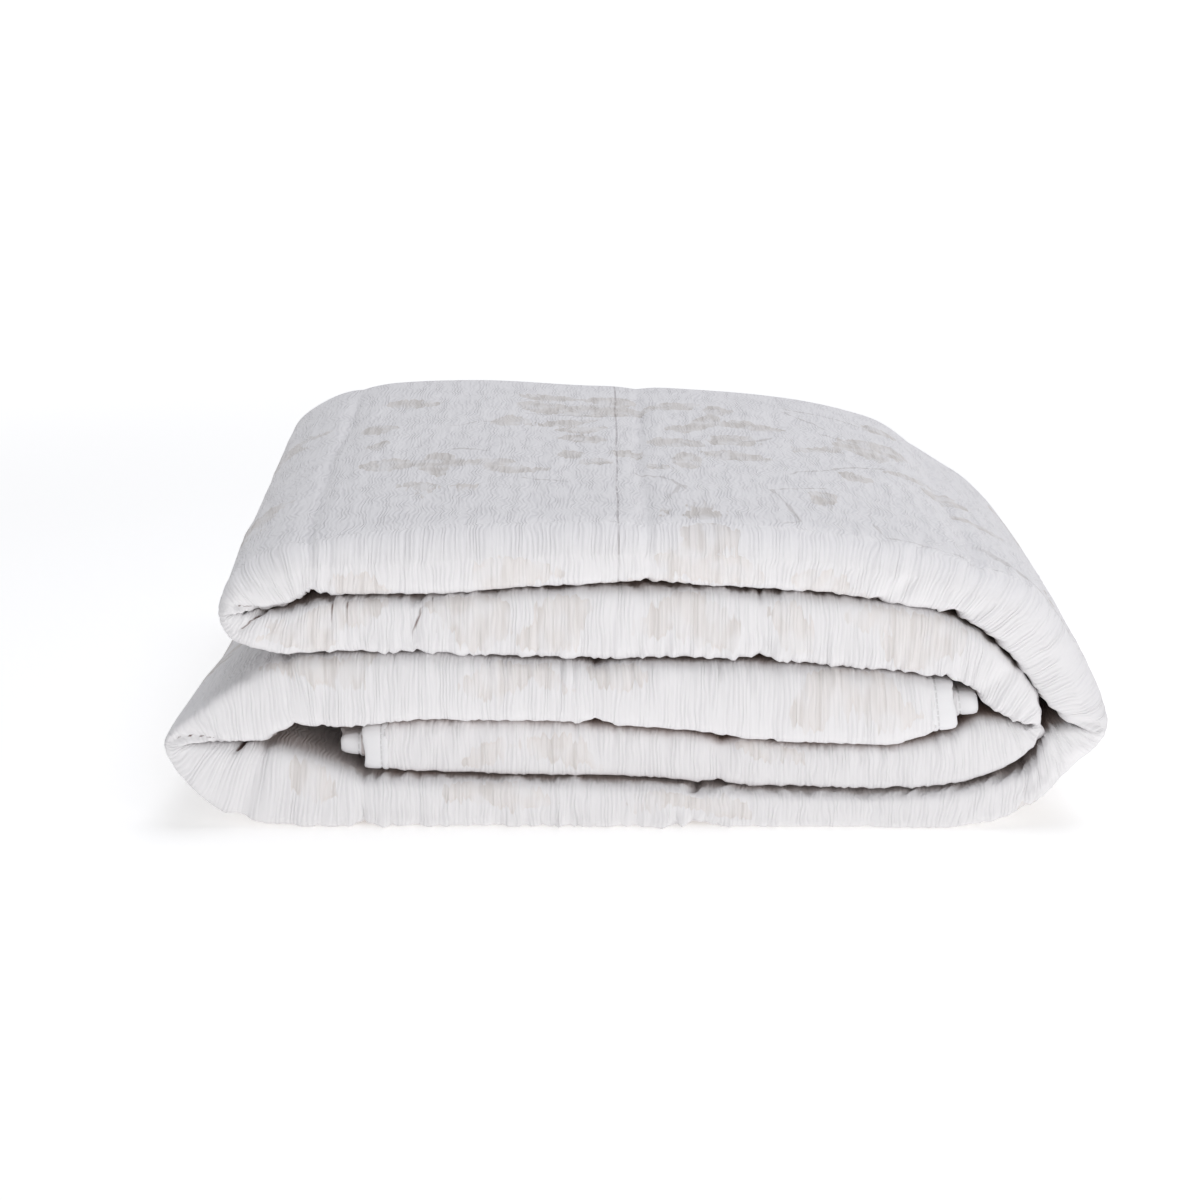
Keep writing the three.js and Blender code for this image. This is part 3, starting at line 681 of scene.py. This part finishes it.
def makeCloth():
    upper, lower = clothPath(1), clothPath(-1)
    vUpper, vLower = alongPath(upper), alongPath(lower)
    firstTop = next(i for i, point in enumerate(upper) if point[1] == 1)
    lastTop = firstTop + bedspread["topRows"] - 1
    fineUpper, fineV, kept = withMoreRows(upper, vUpper, firstTop, lastTop, bedspread["fineRows"])
    kept += [len(fineUpper) + k for k in range(len(lower))]
    back, vBack = lower[::-1], vLower[::-1]
    coarse = {"path": upper + back, "v": np.concatenate([vUpper, vBack]), "face": len(upper)}
    fine = {"path": fineUpper + back, "v": np.concatenate([fineV, vBack]), "face": len(fineUpper)}
    stations = stationPlaces()
    isFine = np.zeros(len(stations), dtype=bool)
    for low, high in shownStretches:
        isFine |= (stations >= low) & (stations <= high)

    blocks, starts, total = [], [], 0
    change = np.flatnonzero(np.diff(isFine.astype(int))) + 1
    for block in np.split(np.arange(len(stations)), change):
        kind = fine if isFine[block[0]] else coarse
        around = len(kind["path"])
        starts += [(total + row * around, around) for row in range(len(block))]
        total += len(block) * around
        blocks.append([part.reshape(len(block) * around, -1) for part in clothRings(kind, stations[block])])
    points, normals, lifts, along, across, behind = (np.concatenate(parts) for parts in zip(*blocks))

    faces = ringFaces(starts, kept)
    faces += capFaces(starts[0][0], vUpper, vLower)
    faces += [face[::-1] for face in capFaces(starts[-1][0], vUpper, vLower)]
    if signedVolume(points, faces) < 0:
        faces = [face[::-1] for face in faces]
        normals = -normals
    points = points + normals * lifts
    points[:, 2] = np.clip(points[:, 2], 0.0, None)
    marks = motifMarks(along[:, 0], across[:, 0], behind[:, 0])
    piece = makeMesh("quiltedCloth", points, faces, np.hstack([along, across]), marks)
    print("cloth:", len(points), "points,", sum(len(face) - 2 for face in faces), "triangles")
    return piece


tape = {
    "width": 12.4 * mm, "halfThick": 2.95 * mm, "step": 2.4 * mm, "hemStep": 4.6 * mm,
    "ruffle": 1.5 * mm, "ruffleSize": 21 * mm, "edge": 1.5 * mm, "edgeSize": 13 * mm,
    "scallop": 0.55 * mm, "scallopSize": 2.7 * mm, "waveFade": 1.4, "edgeFade": 1.6,
    "hem": 0.4 * mm, "innerFold": 12.5 * mm, "innerRound": 11 * mm, "backGap": 3.2 * mm, "outerRound": 19 * mm,
    "innerHalf": (0.485, 0.515), "hemLap": 1.2 * mm, "hemWave": 0.6,
}
# The tape in section: how far out, in mm, and the share of its half thickness. It laps the cloth
# before nothing, dips at its stitching and thins towards its edge.
tapeSection = [
    (-2.4, 0.80), (-2.2, 1.10), (-0.8, 1.15), (0.5, 1.06), (1.5, 0.74), (2.8, 0.93),
    (6.0, 0.86), (9.5, 0.72), (11.8, 0.42), (12.4, 0.0),
]


def tapeRing():
    upper = np.array(tapeSection) * (mm, tape["halfThick"])
    lower = upper[-2::-1] * (1, -1)
    return np.concatenate([upper, lower])


def plyRoute():
    # the middle of the cloth seen from an end, from the inner hem round to the outer one
    front, back = -bedspread["depth"] / 2, bedspread["depth"] / 2
    hem, square = back - tape["hem"], bedspread["frontSquare"]
    outer, inner, gap = plies["outer"], plies["inner"], tape["backGap"]
    shallow, deep = plies["shallow"], plies["deep"]
    route = [(y, -inner) for y in (hem, deep, shallow)]
    route += reversed(foldArc(front + tape["innerFold"], tape["innerRound"], inner, 8, square))
    route += [(y, inner) for y in (shallow, deep)]
    route += backArc(back - gap, tape["innerRound"], inner, outer, 8)
    route += [(y, outer) for y in (deep, shallow)]
    route += foldArc(front + gap, tape["outerRound"], outer, 10, square)
    route += [(y, -outer) for y in (shallow, deep, hem)]
    return np.array(route)


def closedStrip(name, rings, uvs):
    # a skin over rings of points, closed by its two end rings
    stations, around = rings.shape[:2]
    faces = []
    for i in range(stations - 1):
        for j in range(around):
            a, b = i * around + j, i * around + (j + 1) % around
            faces.append((a, b, b + around, a + around))
    faces.append(tuple(range(around))[::-1])
    faces.append(tuple((stations - 1) * around + j for j in range(around)))
    points = rings.reshape(-1, 3)
    if signedVolume(points, faces) < 0:
        faces = [f[::-1] for f in faces]
    piece = makeMesh(name, points, faces, uvs.reshape(-1, 2))
    print(name, len(points), "points")
    return piece


def wornEdge(walk, out, seed):
    # how a stretch of tape waves to and fro and how far its edge wanders
    share = np.clip(out / tape["width"], 0, 1)
    still = 0 * walk
    wave = tape["ruffle"] * softNoise(walk, still, tape["ruffleSize"], 1, seed)
    reach = tape["edge"] * softNoise(walk, still, tape["edgeSize"], 1, seed + 1)
    reach += tape["scallop"] * softNoise(walk, still, tape["scallopSize"], 1, seed + 2)
    return wave * share ** tape["waveFade"], reach * share ** tape["edgeFade"]


def makeEndTape(name, u, outward, seed):
    route = plyRoute()
    steps = np.hypot(np.diff(route[:, 0]), np.diff(route[:, 1]) * plies["halfPile"])
    walked = np.concatenate([[0], np.cumsum(steps)])
    count = int(walked[-1] / tape["step"])
    walk = np.linspace(0, walked[-1], count)
    y = np.interp(walk, walked, route[:, 0])
    level = np.interp(walk, walked, route[:, 1])
    scale = np.linalg.norm(sectionAt(np.array([u]), np.array([1.0]))[1])
    wayY, wayLevel = np.gradient(y), np.gradient(level) * scale
    size = np.hypot(wayY, wayLevel)
    sideY, sideLevel = -wayLevel / size, wayY / size / scale
    inner = 1 - softStep(*tape["innerHalf"], walk / walked[-1])
    ring = tapeRing()
    walkGrid, out = np.meshgrid(walk, ring[:, 0], indexing="ij")
    wave, reach = wornEdge(walkGrid, out, seed)
    across = ring[:, 1][None, :] + wave
    u = np.full_like(walkGrid, u)
    ringY = y[:, None] + sideY[:, None] * across
    ringLevel = level[:, None] + sideLevel[:, None] * across
    stickOut = endShift(u, inner[:, None]) + outward * (out + reach)
    rings = pilePoint(u, np.full_like(u, 1.0), ringY, ringLevel, stickOut)
    rings[..., 2] = np.clip(rings[..., 2], 0, None)
    return closedStrip(name, rings, np.stack([walkGrid, out], -1))


def makeHemTape(name, level, inner, seed):
    u = np.linspace(0, bedspread["length"], int(bedspread["length"] / tape["hemStep"]))
    ring = tapeRing()
    uGrid, out = np.meshgrid(u, ring[:, 0], indexing="ij")
    scale = np.linalg.norm(sectionAt(uGrid, np.full_like(uGrid, 1.0))[1], axis=-1)
    wave, reach = wornEdge(uGrid, out, seed)
    y = bedspread["depth"] / 2 - bedspread["hemInset"] + out + reach - tape["hemLap"]
    ringLevel = level + (ring[:, 1][None, :] + wave * tape["hemWave"]) / scale
    rings = pilePoint(uGrid, np.full_like(uGrid, 1.0), y, ringLevel, endShift(uGrid, inner))
    rings[..., 2] = np.clip(rings[..., 2], 0, None)
    return closedStrip(name, rings, np.stack([uGrid, out], -1))


def makeCamera():
    view = {"target": (-0.024, -0.225, 0.144), "elevation": 15.5, "distance": 1.766, "lens": 89.8}
    lens = bpy.data.cameras.new("studioCamera")
    lens.lens = view["lens"]
    lens.sensor_width = 36
    camera = bpy.data.objects.new("studioCamera", lens)
    bpy.context.collection.objects.link(camera)
    tilt = math.radians(view["elevation"])
    away = Vector((0, -math.cos(tilt), math.sin(tilt))) * view["distance"]
    camera.location = Vector(view["target"]) + away
    camera.rotation_euler = (math.pi / 2 - tilt, 0, 0)
    bpy.context.scene.camera = camera


def softLight(name, place, aim, size, power, color):
    lamp = bpy.data.lights.new(name, "AREA")
    lamp.shape = "RECTANGLE"
    lamp.size, lamp.size_y = size
    lamp.energy = power
    lamp.color = color
    light = bpy.data.objects.new(name, lamp)
    bpy.context.collection.objects.link(light)
    light.location = place
    light.rotation_euler = (Vector(aim) - Vector(place)).to_track_quat("-Z", "Y").to_euler()


studio = {
    "floor": 60.0, "floorPlace": -0.4 * mm, "floorGlow": 0.342, "farGlow": 0.85, "glowFrom": (0.7, 2.6),
    "sky": 0.385,
}
# Soft lights: name, place, aim, size, power in watts and colour.
lightRows = [
    ("keyBox", (2.0, -2.0, 0.75), (0, 0, 0.1), (1.0, 0.9), 12, (1, 0.985, 0.975)),
    ("frontBox", (0.3, -2.9, 0.55), (0, 0, 0.1), (2.0, 1.2), 17, (1, 1, 1)),
    ("topBox", (0.35, 0.2, 2.2), (0, 0, 0), (1.8, 1.8), 24, (0.94, 0.95, 1)),
]


def makeStudio():
    bpy.ops.object.select_all(action="DESELECT")
    bpy.ops.mesh.primitive_plane_add(size=studio["floor"], location=(0, 0, studio["floorPlace"]))
    floor = bpy.context.object
    floor.name = "studioFloor"
    paper = bpy.data.materials.new("whitePaper")
    paper.use_nodes = True
    shader = paper.node_tree.nodes["Principled BSDF"]
    shader.inputs["Base Color"].default_value = (0.9, 0.9, 0.9, 1)
    shader.inputs["Roughness"].default_value = 1
    shader.inputs["Emission Color"].default_value = (1, 0.985, 0.96, 1)
    # the paper is white all the way to the top of the picture
    tree = paper.node_tree
    place = newNode(tree, "TexCoord").outputs["Object"]
    far = newNode(tree, "VectorMath", {0: place}, operation="LENGTH").outputs["Value"]
    glow = ramp(tree, far, *studio["glowFrom"], studio["floorGlow"], studio["farGlow"])
    tree.links.new(glow, shader.inputs["Emission Strength"])
    floor.data.materials.append(paper)
    world = bpy.data.worlds.new("whiteRoom")
    bpy.context.scene.world = world
    world.use_nodes = True
    nodes, links = world.node_tree.nodes, world.node_tree.links
    nodes.clear()
    out = nodes.new("ShaderNodeOutputWorld")
    seen = nodes.new("ShaderNodeBackground")
    seen.inputs["Color"].default_value = (1, 1, 1, 1)
    lit = nodes.new("ShaderNodeBackground")
    lit.inputs["Color"].default_value = (0.95, 0.97, 1, 1)
    lit.inputs["Strength"].default_value = studio["sky"]
    mix = nodes.new("ShaderNodeMixShader")
    path = nodes.new("ShaderNodeLightPath")
    links.new(path.outputs["Is Camera Ray"], mix.inputs["Fac"])
    links.new(lit.outputs[0], mix.inputs[1])
    links.new(seen.outputs[0], mix.inputs[2])
    links.new(mix.outputs[0], out.inputs["Surface"])
    for light in lightRows:
        softLight(*light)
    bpy.context.scene.view_settings.view_transform = "Standard"


def newNode(tree, kind, values=None, **settings):
    node = tree.nodes.new("ShaderNode" + kind)
    for name, value in settings.items():
        setattr(node, name, value)
    for place, value in (values or {}).items():
        if isinstance(value, bpy.types.NodeSocket):
            tree.links.new(value, node.inputs[place])
        else:
            node.inputs[place].default_value = value
    return node


def calc(tree, operation, a, b=0.0, c=0.0):
    return newNode(tree, "Math", {0: a, 1: b, 2: c}, operation=operation).outputs[0]


def ramp(tree, value, low, high, fromZero=0.0, toOne=1.0):
    # a smooth change of a value between two limits
    values = {"Value": value, "From Min": low, "From Max": high, "To Min": fromZero, "To Max": toOne}
    return newNode(tree, "MapRange", values, interpolation_type="SMOOTHSTEP").outputs[0]


def times(tree, a, b):
    return calc(tree, "MULTIPLY", a, b)


def noise(tree, x, y, sizeX, sizeY, detail=0.0):
    # noise from 0 to 1 whose patches have the given sizes
    x, y = calc(tree, "DIVIDE", x, sizeX), calc(tree, "DIVIDE", y, sizeY)
    place = newNode(tree, "CombineXYZ", {"X": x, "Y": y}).outputs[0]
    values = {"Vector": place, "Scale": 1.0, "Detail": detail}
    return newNode(tree, "TexNoise", values, noise_dimensions="2D").outputs["Fac"]


def swayed(tree, value, reach):
    # a noise value as a shift of up to the reach to either side
    return times(tree, calc(tree, "SUBTRACT", value, 0.5), 2 * reach)


def inMillimetres(tree, place):
    parts = newNode(tree, "SeparateXYZ", {0: place}).outputs
    return times(tree, parts["X"], 1 / mm), times(tree, parts["Y"], 1 / mm)


def startGroup(name, inputs, outputs):
    group = bpy.data.node_groups.new(name, "ShaderNodeTree")
    for label, kind in inputs:
        group.interface.new_socket(label, in_out="INPUT", socket_type="NodeSocket" + kind)
    for label in outputs:
        group.interface.new_socket(label, in_out="OUTPUT", socket_type="NodeSocketFloat")
    taken = group.nodes.new("NodeGroupInput")
    given = group.nodes.new("NodeGroupOutput")
    return group, taken.outputs, given.inputs


crinkle = {
    "pitch": 2.7, "uneven": 2.3, "unevenSize": (7.0, 34.0), "wander": 3.0, "wanderSize": (18.0, 36.0),
    "zigzag": 2.6, "zigzagSize": (22.0, 12.0),
    "tallSize": (6.0, 24.0), "tallFrom": (0.28, 0.68), "tall": (0.12, 0.5),
    "fine": 0.2, "fineSize": (0.62, 7.0), "hollow": (0.1, 0.45),
}


def crinkleGroup():
    # fine wavy ridges that run across the cloth, as a height and as a mask of their hollows, which get painted
    # shade
    inputs = [("Place", "Vector"), ("Waves", "Float")]
    group, taken, given = startGroup("fineCrinkle", inputs, ["Height", "HollowShade"])
    u, v = inMillimetres(group, taken["Place"])
    wide = swayed(group, noise(group, u, v, *crinkle["wanderSize"], 1.0), crinkle["wander"])
    sharp = swayed(group, noise(group, u, v, *crinkle["zigzagSize"]), crinkle["zigzag"])
    bent = calc(group, "MULTIPLY_ADD", calc(group, "ADD", wide, sharp), taken["Waves"], u)
    loose = swayed(group, noise(group, u, v, *crinkle["unevenSize"], 1.6), crinkle["uneven"])
    bent = calc(group, "ADD", bent, loose)
    wave = calc(group, "SINE", times(group, bent, 2 * math.pi / crinkle["pitch"]))
    tall = noise(group, u, v, *crinkle["tallSize"], 1.0)
    ridge = calc(group, "MULTIPLY_ADD", wave, ramp(group, tall, *crinkle["tallFrom"], *crinkle["tall"]), 0.5)
    fine = times(group, noise(group, bent, v, *crinkle["fineSize"]), crinkle["fine"])
    group.links.new(calc(group, "MULTIPLY_ADD", ridge, 1 - crinkle["fine"], fine), given["Height"])
    # the hollows between the ridges, for painted shade
    group.links.new(ramp(group, ridge, *crinkle["hollow"], 1.0, 0.0), given["HollowShade"])
    return group


woven = {
    "rough": 13.0, "roughSize": (3.4, 14.0), "edge": (-0.8, 1.2),
    "patchSize": (13.0, 17.0), "patch": (0.3, 0.6, 0.35, 1.0),
    "rimPlace": 0.6, "rimWidth": (0.2, 1.5), "rimPatch": (0.35, 0.6),
    "pleatSize": (4.6, 70.0), "pleat": (0.46, 0.64),
    "twigSize": (5.5, 60.0), "twigWidth": (4.2, -1.0), "twigEdge": (-0.5, 0.5),
}


def motifGroup():
    # the woven leaves with their pleats and rims, and the twigs, as masks
    inputs = [("Place", "Vector"), ("Leaf", "Float"), ("Twig", "Float"), ("Near", "Float")]
    group, taken, given = startGroup("wovenMotif", inputs, ["Leaf", "Pleat", "Twig", "Rim"])
    u, v = inMillimetres(group, taken["Place"])
    rough = noise(group, u, v, *woven["roughSize"], 1.6)
    edge = calc(group, "ADD", swayed(group, rough, woven["rough"] / 2), taken["Leaf"])
    patchy = noise(group, u, v, *woven["patchSize"], 1.0)
    leaf = times(group, ramp(group, edge, *woven["edge"]), ramp(group, patchy, *woven["patch"]))
    rim = calc(group, "ABSOLUTE", calc(group, "SUBTRACT", edge, woven["rimPlace"]))
    rim = times(group, ramp(group, rim, *woven["rimWidth"], 1.0, 0.0), ramp(group, patchy, *woven["rimPatch"]))
    bars = ramp(group, noise(group, u, v, *woven["pleatSize"], 1.2), *woven["pleat"])
    width = calc(group, "MULTIPLY_ADD", noise(group, u, v, *woven["twigSize"], 1.0), *woven["twigWidth"])
    inTwig = calc(group, "SUBTRACT", width, calc(group, "ABSOLUTE", taken["Twig"]))
    twig = times(group, ramp(group, inTwig, *woven["twigEdge"]), taken["Near"])
    for label, mask in (("Leaf", leaf), ("Pleat", times(group, leaf, bars)), ("Twig", twig), ("Rim", rim)):
        group.links.new(mask, given[label])
    return group


def newMaterial(name):
    material = bpy.data.materials.new(name)
    material.use_nodes = True
    return material, material.node_tree, material.node_tree.nodes["Principled BSDF"]


def tinted(tree, color, amount, tint):
    # the colour taken towards a tint of itself where the amount says so
    deeper = newNode(tree, "Mix", {0: 1.0, 6: color, 7: tint}, data_type="RGBA", blend_type="MULTIPLY")
    deeper = deeper.outputs[2]
    return newNode(tree, "Mix", {0: amount, 6: color, 7: deeper}, data_type="RGBA").outputs[2]


# The cloth's colours; the tints for the ridge hollows, the leaf pleats, the gaps between layers and the crease
# lines are painted shade.
clothLook = {
    "base": (0.800, 0.786, 0.792, 1), "mottle": (0.965, 0.96, 0.962, 1), "hollow": (0.885, 0.88, 0.89, 1),
    "leaf": (0.880, 0.857, 0.825, 1), "frontLeaf": (0.970, 0.948, 0.926, 1), "rim": (0.94, 0.905, 0.875, 1),
    "pleat": (0.80, 0.785, 0.765, 1), "twig": (0.80, 0.785, 0.77, 1), "stitch": (0.70, 0.68, 0.68, 1),
    "paintedGapShade": (0.42, 0.28, 0.22, 1), "creaseShade": (0.20, 0.13, 0.11, 1),
    "topFrom": (0.014, 0.052), "strength": (0.12, 0.48), "waves": (0.70, 0.30), "mottleSize": (1 / 16, 1 / 11),
    "stitchPlace": 1184.5, "stitchWidth": (0.2, 0.8), "stitchWander": 3.0, "stitchLength": 1 / 90,
    "stitchBreaks": (0.3, 0.6, 0.4, 1.0), "darkEdge": (-0.4, 0.9), "bump": 0.85 * mm,
}


def clothMaterial():
    look = clothLook
    material, tree, shader = newMaterial("crinkleCotton")
    place = newNode(tree, "UVMap", uv_map="cloth").outputs["UV"]
    mark = lambda name: newNode(tree, "Attribute", attribute_name=name).outputs["Fac"]
    ridges = newNode(tree, "Group", {"Place": place}, node_tree=crinkleGroup())
    motifInputs = {"Place": place, "Leaf": mark("leafEdge"), "Twig": mark("twigSide"), "Near": mark("twigNear")}
    leaves = newNode(tree, "Group", node_tree=motifGroup())
    for entry, value in motifInputs.items():
        tree.links.new(value, leaves.inputs[entry])
    parts = newNode(tree, "SeparateXYZ", {0: place}).outputs
    # the crinkle is strongest and most wavy on the wide faces, away from the rounded fronts
    fromFront = calc(tree, "ABSOLUTE", calc(tree, "SUBTRACT", parts["Y"], frontPlace))
    onTop = ramp(tree, fromFront, *look["topFrom"])
    strong = calc(tree, "MULTIPLY_ADD", onTop, *look["strength"])
    tree.links.new(calc(tree, "MULTIPLY_ADD", onTop, *look["waves"]), ridges.inputs["Waves"])
    crisp = times(tree, strong, calc(tree, "MULTIPLY_ADD", leaves.outputs["Leaf"], -0.2, 1.0))
    mottle = noise(tree, parts["X"], parts["Y"], *look["mottleSize"], 2.0)
    color = newNode(tree, "RGB").outputs[0]
    color.default_value = look["base"]
    color = tinted(tree, color, times(tree, mottle, 0.5), look["mottle"])
    leafColors = {0: onTop, 6: look["frontLeaf"], 7: look["leaf"]}
    leafTint = newNode(tree, "Mix", leafColors, data_type="RGBA").outputs[2]
    color = tinted(tree, color, leaves.outputs["Leaf"], leafTint)
    color = tinted(tree, color, times(tree, leaves.outputs["Rim"], 0.4), look["rim"])
    # painted shade in the leaves' pleats, a little stronger on the wide faces
    color = tinted(tree, color, times(tree, leaves.outputs["Pleat"], strong), look["pleat"])
    color = tinted(tree, color, leaves.outputs["Twig"], look["twig"])
    # painted shade in the hollows between the crinkle ridges
    color = tinted(tree, color, times(tree, ridges.outputs["HollowShade"], crisp), look["hollow"])
    # one sewn line across the cloth, a little uneven and broken
    along = calc(tree, "MULTIPLY_ADD", parts["X"], 1 / mm, -look["stitchPlace"])
    wobble = swayed(tree, mottle, look["stitchWander"] / 2)
    fromLineCenter = calc(tree, "ABSOLUTE", calc(tree, "ADD", along, wobble))
    broken = noise(tree, 0.5, parts["Y"], 1.0, look["stitchLength"], 1.0)
    sewn = ramp(tree, fromLineCenter, *look["stitchWidth"], 1.0, 0.0)
    sewn = times(tree, sewn, ramp(tree, broken, *look["stitchBreaks"]))
    color = tinted(tree, color, sewn, look["stitch"])
    # painted shade: brown between the layers where they lie pressed together
    color = tinted(tree, color, mark("paintedGapShade"), look["paintedGapShade"])
    # painted shade: dark lines along the creases
    color = tinted(tree, color, ramp(tree, mark("paintedCreaseShade"), *look["darkEdge"], 1.0, 0.0), look["creaseShade"])
    tree.links.new(color, shader.inputs["Base Color"])
    height = times(tree, ridges.outputs["Height"], crisp)
    height = calc(tree, "MULTIPLY_ADD", leaves.outputs["Pleat"], -0.22, height)
    height = calc(tree, "MULTIPLY_ADD", sewn, -0.45, height)
    bump = newNode(tree, "Bump", {"Height": height, "Strength": 1.0, "Distance": look["bump"]})
    tree.links.new(bump.outputs[0], shader.inputs["Normal"])
    shader.inputs["Roughness"].default_value = 0.92
    shader.inputs["Specular IOR Level"].default_value = 0.22
    shader.inputs["Sheen Weight"].default_value = 0.12
    shader.inputs["Sheen Roughness"].default_value = 0.6
    return material


tapeLook = {
    "base": (0.80, 0.792, 0.80, 1), "thread": (0.90, 0.89, 0.89, 1), "bump": 0.25 * mm,
    "dash": 1.5, "dashEdge": (0.35, 0.6), "rowPlace": 1.5, "rowEdge": (0.3, 0.6),
    "weaveSize": (1 / 2.6, 1 / 1.1), "foldSize": (5.0, 16.0), "fold": 2.4, "threadHeight": 1.2, "weave": 0.35,
}


def tapeMaterial():
    look = tapeLook
    material, tree, shader = newMaterial("whiteTape")
    walk, out = inMillimetres(tree, newNode(tree, "UVMap", uv_map="cloth").outputs["UV"])
    dash = ramp(tree, calc(tree, "PINGPONG", walk, look["dash"]), *look["dashEdge"])
    fromRow = calc(tree, "ABSOLUTE", calc(tree, "SUBTRACT", out, look["rowPlace"]))
    thread = times(tree, dash, ramp(tree, fromRow, *look["rowEdge"], 1.0, 0.0))
    color = newNode(tree, "RGB").outputs[0]
    color.default_value = look["base"]
    tree.links.new(tinted(tree, color, thread, look["thread"]), shader.inputs["Base Color"])
    height = times(tree, noise(tree, walk, out, *look["weaveSize"], 1.0), look["weave"])
    height = calc(tree, "MULTIPLY_ADD", thread, look["threadHeight"], height)
    height = calc(tree, "MULTIPLY_ADD", noise(tree, walk, out, *look["foldSize"], 1.0), look["fold"], height)
    bump = newNode(tree, "Bump", {"Height": height, "Strength": 1.0, "Distance": look["bump"]})
    tree.links.new(bump.outputs[0], shader.inputs["Normal"])
    shader.inputs["Roughness"].default_value = 0.8
    shader.inputs["Specular IOR Level"].default_value = 0.3
    return material


makeCamera()
makeStudio()
print("camera and studio made")
quilt = makeCloth()
quilt.data.materials.append(clothMaterial())
print("quilted cloth made")

whiteTape = tapeMaterial()
tapes = {
    "end_tape_inner": makeEndTape("endTapeInner", 0.0, -1, 21),
    "end_tape_outer": makeEndTape("endTapeOuter", bedspread["length"], 1, 31),
    "hem_tape_outer": makeHemTape("hemTapeOuter", -plies["outer"], 0, 41),
    "hem_tape_inner": makeHemTape("hemTapeInner", -plies["inner"], 1, 51),
}
for node, strip in tapes.items():
    strip.data.materials.append(whiteTape)
    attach(strip, "root")
    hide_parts(node)
print("tapes made")

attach(quilt, "root")
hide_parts("quilted_cloth")
